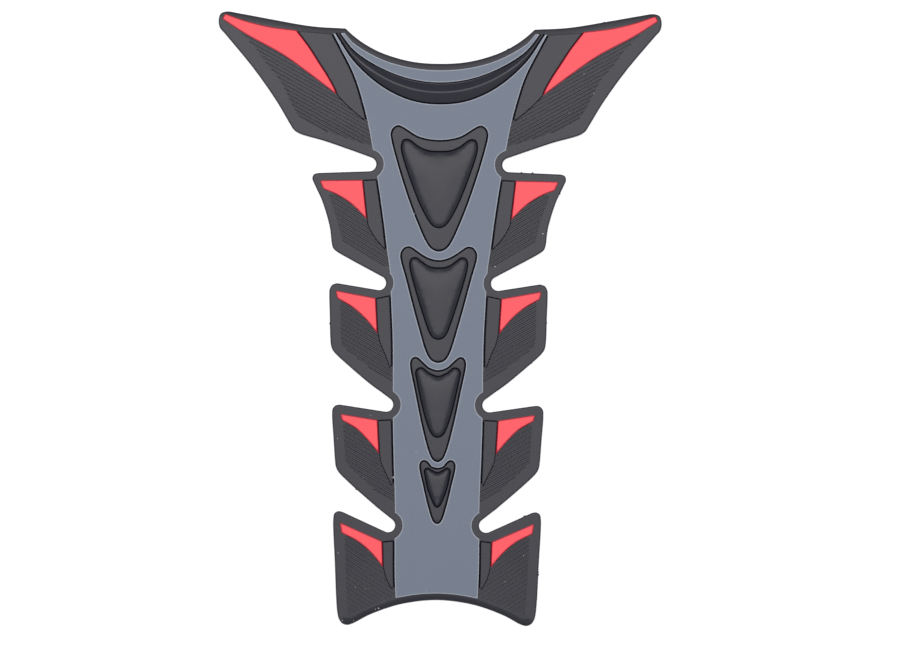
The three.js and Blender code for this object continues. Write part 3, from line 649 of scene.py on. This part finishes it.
def roofRidge():
    steps = ridgeShape["steps"]
    upper, crest, lower = [resample(smoothCurve(run), steps) for run in (bandFoot, ridgeCrest, panelTop)]
    half = seams["groove"] / 2
    width = np.linalg.norm(upper - lower, axis=1)
    rise = levels["ridgeCrest"] - levels["ridgeEdge"]
    stations = []
    for i in range(steps + 1):
        share = min(1, width[i] / width[0])
        topZ = levels["ridgeEdge"] + rise * share ** ridgeShape["rounding"]
        toUpper, toLower = [np.linalg.norm(run[i] - crest[i]) for run in (upper, lower)]
        up = (upper[i] - crest[i]) / max(toUpper, 1e-6)
        down = (lower[i] - crest[i]) / max(toLower, 1e-6)
        above = upper[i] - up * min(half, ridgeShape["seamShare"] * toUpper)
        under = lower[i] - down * min(half, ridgeShape["seamShare"] * toLower)
        flat = min(ridgeShape["crestWidth"], ridgeShape["crestShare"] * np.linalg.norm(above - crest[i]))
        upperZ = levels["ridgeEdge"] - ridgeShape["upperDrop"] * share
        edgeZ = levels["ridgeEdge"] + ridgeShape["footRise"] * share
        stations.append([  # from the band's side over the crest to the panel's side, its edges eased
            (*above, levels["root"]), (*above, upperZ - 0.05), (*(above - up * 0.03), upperZ - 0.015),
            (*(above - up * 0.07), upperZ + 0.01), (*(crest[i] + up * flat), topZ - 0.01),
            (*crest[i], topZ), (*(crest[i] + down * flat), topZ - 0.01),
            (*(under - down * 0.14), edgeZ + 0.03), (*(under - down * 0.06), edgeZ - 0.03),
            (*under, edgeZ - 0.12), (*under, levels["root"])])
    mirrored = [[(-x, y, z) for x, y, z in station] for station in stations[1:]][::-1]
    rows = mirrored + stations
    count = len(rows[0])
    faces = []
    for s in range(len(rows) - 1):
        a, b = s * count, (s + 1) * count
        faces += [(a + k, a + (k + 1) % count, b + (k + 1) % count, b + k) for k in range(count)]
    last = (len(rows) - 1) * count
    faces += [tuple(reversed(range(count))), tuple(range(last, last + count))]
    return np.array([p for row in rows for p in row]), faces


def resample(run, steps):
    lengths = np.concatenate([[0], np.cumsum(np.linalg.norm(np.diff(run, axis=0), axis=1))])
    wanted = np.linspace(0, lengths[-1], steps + 1)
    return np.column_stack([np.interp(wanted, lengths, run[:, k]) for k in (0, 1)])


def arrowFrame(index):
    outer = insetOutline(frameLines[index], seams["groove"] / 2)
    inner = insetOutline(domeLines[index], -domeShape["gap"])
    return mound(outer, roundedTop(levels["frame"], frameShape["rounding"]), frameShape["rings"],
                 root=levels["root"], holes=[inner])


def pillowDome(index):
    edge = insetOutline(domeLines[index], domeShape["gap"])
    rise = levels["domeCrown"] - levels["domeEdge"]

    def height(depths, places):
        inwards = np.clip(depths / domeShape["crownWidths"][index], 0, 1)
        return levels["domeEdge"] + rise * (1 - (1 - inwards) ** 2)
    return mound(edge, height, domeShape["rings"], root=levels["root"], gridStep=domeShape["gridStep"],
                 soften=domeShape["soften"])


def blackMoulding():
    piece = meshObject("black_pad", sheet())
    combine(piece, "UNION", [nubs()])
    grooves = [g for fin in fins.values() for g in ribGrooves(fin)]
    combine(piece, "DIFFERENCE", [together(onBothSides(grooves))])
    print("black moulding: sheet and", 2 * len(grooves), "rib grooves")
    blades = [blade(fin) for fin in fins.values()]
    combine(piece, "UNION", [together(onBothSides(blades)), roofRidge()])
    low, high = seams["grooveFloor"], levels["clear"]
    pockets = [prism(redOutline(fin), levels["floor"], high) for fin in fins.values()]
    combine(piece, "DIFFERENCE", [together(onBothSides(pockets)), prism(bandPour, levels["floor"], high)])
    panelPocket = meshObject("panelPocket", prism(panelPour, levels["floor"], high))
    discProfile = [(0, 0), (ringRadius, 0), (ringRadius, high + 1), (0, high + 1)]
    discs = [lathe(c, discProfile) for c in notchCentres]
    combine(panelPocket, "DIFFERENCE", [together(onBothSides([d])) for d in discs])
    pocket = (np.array([v.co[:] for v in panelPocket.data.vertices]) / mm,
              [tuple(p.vertices) for p in panelPocket.data.polygons])
    bpy.data.objects.remove(panelPocket)
    combine(piece, "DIFFERENCE", [pocket])
    print("black moulding: blades, ridge and pockets")
    half = seams["groove"] / 2
    grooves = []
    for fin in fins.values():
        top, foot = fin["bladeHead"][0][1], fin["bladeTail"][-1][1]
        grooves.append(prism(ribbon(sideBetween(top + 0.3, foot + 0.2), half), low, high))
    combine(piece, "DIFFERENCE", [together(onBothSides(grooves))])
    heads = [prism(ribbon(smoothCurve(fin["bladeHead"]), seams["headGroove"] / 2), low + 0.1, high)
             for name, fin in fins.items() if name != "wing"]
    combine(piece, "DIFFERENCE", [together(onBothSides(heads))])
    tails = [prism(ribbon(smoothCurve(fin["bladeTail"]), seams["tailGroove"] / 2), low + 0.1, high)
             for fin in fins.values()]
    combine(piece, "DIFFERENCE", [together(onBothSides(tails))])
    for run in (panelTop, bandFoot):
        right = smoothCurve(run)
        whole = np.vstack([mirrorRun(right), right[1:]])
        combine(piece, "DIFFERENCE", [prism(ribbon(whole, half), low, high)])
    frames = [arrowFrame(index) for index in range(len(arrowheads))]
    domes = [pillowDome(index) for index in range(len(arrowheads))]
    combine(piece, "UNION", [together(frames), together(domes)])
    print("black moulding: arrowheads,", triangleCount(piece), "triangles")
    return piece


black = blackMoulding()
finishSurface(black, 20)


# Grey pours

greyShape = {"rounding": 0.46, "edgeDrop": 0.22, "rings": (0.05, 0.13, 0.23, 0.36, 0.5)}


def greyPanel():
    top, r, drop = levels["grey"], greyShape["rounding"], greyShape["edgeDrop"]
    holes = [insetOutline(line, -seams["groove"] / 2) for line in frameLines]
    piece = meshObject("grey_panel", mound(panelPour, roundedTop(top, r, drop), greyShape["rings"],
                                           root=levels["floor"], holes=holes))
    profile = [(0, 0.5), (ringRadius, 0.5)]
    for t in np.linspace(0, math.pi / 2, 6):
        profile.append((ringRadius + r * (1 - math.cos(t)), top - drop + drop * math.sin(t)))
    profile += [(ringRadius + r, levels["clear"]), (0, levels["clear"])]
    combine(piece, "DIFFERENCE", [together(onBothSides([lathe(c, profile)])) for c in notchCentres])
    return piece


def collarBand():
    height = roundedTop(levels["grey"], greyShape["rounding"], greyShape["edgeDrop"])
    return meshObject("grey_collar", mound(bandPour, height, greyShape["rings"], root=levels["floor"]))


greyPieces = {"grey_centre_panel": greyPanel(), "grey_collar_band": collarBand()}
for piece in greyPieces.values():
    finishSurface(piece)
print("grey pours:", {p.name: triangleCount(p) for p in greyPieces.values()})


# Red pours

redShape = {"rounding": 0.6, "edgeDrop": 0.16, "dip": 0.36, "dipWidth": 0.55,
            "rings": (0.05, 0.12, 0.2, 0.3, 0.42, 0.56, 0.7)}


def redPour(fin):
    divide = smoothCurve(fin["divide"])

    def height(depths, places):
        rounded = roundedTop(levels["red"], redShape["rounding"], redShape["edgeDrop"])(depths, places)
        near = np.clip(1 - distanceToRun(places, divide) / redShape["dipWidth"], 0, 1)
        return rounded - redShape["dip"] * near ** 1.5
    return mound(redOutline(fin), height, redShape["rings"], root=levels["floor"])


redPieces = {}
for name, fin in fins.items():
    pour = redPour(fin)
    redPieces[f"red_{name}_right"] = meshObject(f"red_{name}_right_pour", pour)
    redPieces[f"red_{name}_left"] = meshObject(f"red_{name}_left_pour", mirrorSolid(pour))
for piece in redPieces.values():
    finishSurface(piece)
print("red pours:", len(redPieces), "pieces")


# Materials

def newMaterial(name):
    material = bpy.data.materials.new(name)
    material.use_nodes = True
    tree = material.node_tree
    tree.nodes.clear()
    output = tree.nodes.new("ShaderNodeOutputMaterial")
    shader = tree.nodes.new("ShaderNodeBsdfPrincipled")
    tree.links.new(shader.outputs["BSDF"], output.inputs["Surface"])
    return material, tree, shader


def linear(red, green, blue):  # screen colour, 0 to 255, as the shader wants it
    def one(c):
        c /= 255
        return c / 12.92 if c <= 0.04045 else ((c + 0.055) / 1.055) ** 2.4
    return (one(red), one(green), one(blue), 1)


def newGroup(name, inputs, outputs):  # a shared effect with named sockets
    group = bpy.data.node_groups.new(name, "ShaderNodeTree")
    for label, value in inputs.items():
        socket = group.interface.new_socket(label, in_out="INPUT", socket_type="NodeSocketFloat")
        socket.default_value = value
    for label in outputs:
        group.interface.new_socket(label, in_out="OUTPUT", socket_type="NodeSocketFloat")
    return group, group.nodes.new("NodeGroupInput"), group.nodes.new("NodeGroupOutput")


def mathNode(tree, operation, first, second=0.0, clamp=False):
    node = tree.nodes.new("ShaderNodeMath")
    node.operation = operation
    node.use_clamp = clamp
    for place, value in enumerate((first, second)):
        if isinstance(value, bpy.types.NodeSocket):
            tree.links.new(value, node.inputs[place])
        else:
            node.inputs[place].default_value = value
    return node.outputs["Value"]


def noiseNode(tree, coordinates, scale, detail=2.0, roughness=0.5):
    node = tree.nodes.new("ShaderNodeTexNoise")
    tree.links.new(coordinates, node.inputs["Vector"])
    if isinstance(scale, bpy.types.NodeSocket):
        tree.links.new(scale, node.inputs["Scale"])
    else:
        node.inputs["Scale"].default_value = scale
    node.inputs["Detail"].default_value = detail
    node.inputs["Roughness"].default_value = roughness
    return node.outputs["Fac"]


def mouldGrainGroup():  # fine even grain of the mould, with slow drifts of tone
    group, given, made = newGroup("mouldGrain", {"Grain Scale": 3200, "Drift Scale": 55, "Drift Amount": 0.12,
                                                 "Speckle Scale": 900, "Speckle Amount": 0.05},
                                  ["Grain", "Drift", "Sheen"])
    place = group.nodes.new("ShaderNodeTexCoord").outputs["Object"]
    grain = noiseNode(group, place, given.outputs["Grain Scale"], 3)
    slow = noiseNode(group, place, given.outputs["Drift Scale"], 3)
    fine = noiseNode(group, place, given.outputs["Speckle Scale"], 2)
    parts = []
    for noise, amount in ((slow, "Drift Amount"), (fine, "Speckle Amount")):
        swing = mathNode(group, "SUBTRACT", noise, 0.5)
        parts.append(mathNode(group, "MULTIPLY", swing, given.outputs[amount]))
    tone = mathNode(group, "ADD", parts[0], parts[1])
    group.links.new(grain, made.inputs["Grain"])
    group.links.new(mathNode(group, "ADD", tone, 1), made.inputs["Drift"])
    group.links.new(slow, made.inputs["Sheen"])
    return group


# mask for painted shade in grooves and recesses, and for the painted light or shade along the pours' rounded
# edges
def heightBandGroup():  # 0 at the upper height, 1 at the lower one, on faces that look up
    group, given, made = newGroup("heightBand", {"Upper": 1.9, "Lower": 1.7, "Facing": 0}, ["Mask"])
    place = group.nodes.new("ShaderNodeTexCoord")
    split = group.nodes.new("ShaderNodeSeparateXYZ")
    group.links.new(place.outputs["Object"], split.inputs[0])
    height = mathNode(group, "MULTIPLY", split.outputs["Z"], 1000)
    span = mathNode(group, "SUBTRACT", given.outputs["Upper"], given.outputs["Lower"])
    mask = mathNode(group, "DIVIDE", mathNode(group, "SUBTRACT", given.outputs["Upper"], height), span, True)
    facing = group.nodes.new("ShaderNodeSeparateXYZ")
    group.links.new(place.outputs["Normal"], facing.inputs[0])
    above = mathNode(group, "SUBTRACT", facing.outputs["Z"], given.outputs["Facing"])
    upwards = mathNode(group, "MULTIPLY", above, 30, True)
    group.links.new(mathNode(group, "MULTIPLY", mask, upwards), made.inputs["Mask"])
    return group


# dust flecks that lie on the pad: place and radius
dustColour = linear(196, 194, 190)
dustFlecks = [(36.5, 30.2, 0.22), (24, -92, 0.17), (30.5, -82.7, 0.15), (54, 79.5, 0.16),
              (50.5, 86.3, 0.16), (19.8, 18.5, 0.22), (-20.3, -101.5, 0.22), (-21.4, -101.8, 0.18),
              (-8.6, 36.9, 0.2), (8.7, 50.6, 0.12), (45.5, 72.6, 0.14), (-15.5, -55.6, 0.36),
              (-7.5, -46.5, 0.14), (-3.6, -94.9, 0.14), (-28.5, -94.15, 0.15), (-23.6, -94.5, 0.15),
              (-24.9, -94.7, 0.14), (-34.65, -82.2, 0.15), (-29.0, -105.85, 0.16), (-33.0, -105.9, 0.16),
              (-23.45, -34.0, 0.15), (-35.1, -42.1, 0.14), (-25.95, -55.7, 0.14), (-3.3, -34.5, 0.14)]


def dustGroup():
    group, given, made = newGroup("dustFlecks", {"Size": 1.0}, ["Mask"])
    place = group.nodes.new("ShaderNodeTexCoord").outputs["Object"]
    wobble = noiseNode(group, place, 4000, 1)
    total = None
    for x, y, radius in dustFlecks:
        flat = group.nodes.new("ShaderNodeVectorMath")
        flat.operation = "MULTIPLY"
        flat.inputs[1].default_value = (1000, 1000, 0)
        group.links.new(place, flat.inputs[0])
        away = group.nodes.new("ShaderNodeVectorMath")
        away.operation = "DISTANCE"
        away.inputs[1].default_value = (x, y, 0)
        group.links.new(flat.outputs[0], away.inputs[0])
        reach = mathNode(group, "MULTIPLY", given.outputs["Size"], radius * 2)
        rough = mathNode(group, "MULTIPLY", reach, wobble)
        depth = mathNode(group, "SUBTRACT", rough, away.outputs["Value"])
        inside = mathNode(group, "MULTIPLY", depth, 12, True)
        total = inside if total is None else mathNode(group, "MAXIMUM", total, inside)
    group.links.new(total, made.inputs["Mask"])
    return group


groups = {"grain": mouldGrainGroup(), "band": heightBandGroup(), "dust": dustGroup()}


def placeGroup(tree, name, values=None):
    node = tree.nodes.new("ShaderNodeGroup")
    node.node_tree = groups[name]
    for label, value in (values or {}).items():
        node.inputs[label].default_value = value
    return node


def mixColour(tree, factor, first, second, blend="MIX"):
    node = tree.nodes.new("ShaderNodeMix")
    node.data_type = "RGBA"
    node.blend_type = blend
    for place, value in ((0, factor), (6, first), (7, second)):
        if isinstance(value, bpy.types.NodeSocket):
            tree.links.new(value, node.inputs[place])
        else:
            node.inputs[place].default_value = value
    return node.outputs[2]


# each look's darkest colour, mixed in below a set height on faces that look up, is painted shade in the
# grooves and recesses
blackLook = {"colour": linear(43, 43, 52), "deep": linear(9, 11, 24), "deepFrom": 1.25, "deepTo": 1.05,
             "deepFacing": 0.965, "edgeLightShadeShare": 0.0, "gloss": 0.245, "roughness": (0.29, 0.37),
             "grainDepth": 0.012, "dust": 1.0}
# grey: its pale edge colour is a painted highlight along the rounded edges of the pour, and its dark colour
# painted shade low on the pour
greyLook = {"colour": linear(107, 115, 131), "deep": linear(18, 20, 32), "deepFrom": 1.6, "deepTo": 1.4,
            "deepFacing": 0.0, "edge": linear(192, 195, 203), "edgeLightShadeFrom": 1.899, "edgeLightShadeTo": 1.87,
            "edgeLightShadeShare": 0.55, "gloss": 0.25, "roughness": (0.4, 0.5), "grainDepth": 0.008, "dust": 1.0}
# red: its dark edge colour is painted shade along the border step, and its dark colour painted shade in the
# dip beside the blade
redLook = {"colour": linear(250, 85, 94), "deep": linear(96, 14, 30), "deepFrom": 1.5, "deepTo": 1.3,
           "deepFacing": 0.0, "edge": linear(165, 36, 52), "edgeLightShadeFrom": 1.6, "edgeLightShadeTo": 1.575,
           "edgeLightShadeShare": 1.0, "gloss": 0.2, "roughness": (0.4, 0.5), "grainDepth": 0.008, "dust": 0.0}


def pvcMaterial(name, look):
    material, tree, shader = newMaterial(name)
    grain = placeGroup(tree, "grain")
    tint = tree.nodes.new("ShaderNodeCombineColor")
    for channel in tint.inputs:
        tree.links.new(grain.outputs["Drift"], channel)
    colour = mixColour(tree, 1.0, look["colour"], tint.outputs["Color"], "MULTIPLY")
    # painted light or shade along the top's rounded edge: a light line on the grey, a dark line on the red
    if look["edgeLightShadeShare"]:
        edge = placeGroup(tree, "band", {"Upper": look["edgeLightShadeFrom"], "Lower": look["edgeLightShadeTo"]})
        share = mathNode(tree, "MULTIPLY", edge.outputs["Mask"], look["edgeLightShadeShare"])
        colour = mixColour(tree, share, colour, look["edge"])
    # painted shade: the dark colour laid into grooves and recesses below the set height
    deep = placeGroup(tree, "band", {"Upper": look["deepFrom"], "Lower": look["deepTo"],
                                     "Facing": look["deepFacing"]})
    colour = mixColour(tree, deep.outputs["Mask"], colour, look["deep"])
    shader.inputs["Specular IOR Level"].default_value = look["gloss"]
    if look["dust"]:
        dust = placeGroup(tree, "dust", {"Size": look["dust"]})
        colour = mixColour(tree, dust.outputs["Mask"], colour, dustColour)
    tree.links.new(colour, shader.inputs["Base Color"])
    spread = tree.nodes.new("ShaderNodeMapRange")
    tree.links.new(grain.outputs["Sheen"], spread.inputs["Value"])
    spread.inputs["To Min"].default_value, spread.inputs["To Max"].default_value = look["roughness"]
    dull = mathNode(tree, "MAXIMUM", spread.outputs["Result"], deep.outputs["Mask"])
    tree.links.new(dull, shader.inputs["Roughness"])
    bump = tree.nodes.new("ShaderNodeBump")
    bump.inputs["Strength"].default_value = 0.5
    bump.inputs["Distance"].default_value = look["grainDepth"] * mm
    tree.links.new(grain.outputs["Grain"], bump.inputs["Height"])
    tree.links.new(bump.outputs["Normal"], shader.inputs["Normal"])
    return material


for look, pieces, slotName in ((blackLook, [black], "black_pvc"), (greyLook, greyPieces.values(), "grey_pvc"),
                               (redLook, redPieces.values(), "red_pvc")):
    material = pvcMaterial(slotName, look)
    for piece in pieces:
        piece.data.materials.clear()
        piece.data.materials.append(material)
print("materials: black, grey and red soft PVC")

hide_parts("black_moulding")
for node, piece in {**greyPieces, **redPieces}.items():
    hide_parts(node)
for piece in [black, *greyPieces.values(), *redPieces.values()]:
    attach(piece, "root")


# Floor, lamps and camera

studio = {"frameCentre": (6.39, -3.25), "pixelSize": 0.35049, "picture": (913, 657), "distance": 900,
          "roll": 0.36, "roomLight": 0.36, "floorSize": 3, "floorColour": 0.86, "floorGlow": 0.3,
          "lamps": {"softBox": ((0.0, 0.13, 1.05), 1.0, 8.9),  # place, size, watts
                    "leftGlow": ((-0.2, 0.26, 1.05), 0.25, 0.8),
                    "rightGlow": ((0.18, 0.26, 1.05), 0.25, 0.5)}}


def makeFloor():
    mesh = bpy.data.meshes.new("floor")
    size = studio["floorSize"]
    corners = [(-size, -size, 0), (size, -size, 0), (size, size, 0), (-size, size, 0)]
    mesh.from_pydata(corners, [], [(0, 1, 2, 3)])
    floor = bpy.data.objects.new("floor", mesh)
    scene.collection.objects.link(floor)
    floor.location.z = -0.02 * mm
    material, tree, shader = newMaterial("paleFloor")
    shader.inputs["Base Color"].default_value = (studio["floorColour"],) * 3 + (1,)
    shader.inputs["Roughness"].default_value = 0.9
    shader.inputs["Specular IOR Level"].default_value = 0.1
    rays = tree.nodes.new("ShaderNodeLightPath")
    seen = mathNode(tree, "ADD", rays.outputs["Is Camera Ray"], rays.outputs["Is Glossy Ray"])
    seen = mathNode(tree, "ADD", seen, rays.outputs["Is Transmission Ray"], True)
    shader.inputs["Emission Color"].default_value = (1, 1, 1, 1)
    tree.links.new(mathNode(tree, "MULTIPLY", seen, studio["floorGlow"]), shader.inputs["Emission Strength"])
    mesh.materials.append(material)


def makeStudio():
    world = bpy.data.worlds.new("studio")
    scene.world = world
    world.use_nodes = True
    background = world.node_tree.nodes["Background"]
    background.inputs["Color"].default_value = (1, 1, 1, 1)
    background.inputs["Strength"].default_value = studio["roomLight"]

    for name, (place, size, watts) in studio["lamps"].items():
        lamp = bpy.data.lights.new(name, "AREA")
        lamp.shape = "SQUARE"
        lamp.size = size
        lamp.energy = watts
        box = bpy.data.objects.new(name, lamp)
        box.location = place
        box.rotation_euler = (-box.location).to_track_quat("-Z", "Y").to_euler()
        scene.collection.objects.link(box)

    camera = bpy.data.cameras.new("camera")
    camera.sensor_width = 36
    camera.lens = 36 * studio["distance"] / (studio["picture"][0] * studio["pixelSize"])
    camera.clip_start, camera.clip_end = 0.01, 20
    viewer = bpy.data.objects.new("camera", camera)
    viewer.location = (studio["frameCentre"][0] * mm, studio["frameCentre"][1] * mm,
                       (studio["distance"] + 1.6) * mm)
    viewer.rotation_euler = (0, 0, math.radians(studio["roll"]))
    scene.collection.objects.link(viewer)
    scene.camera = viewer
    scene.view_settings.view_transform = "Standard"


makeFloor()
makeStudio()

print("tank pad: done")
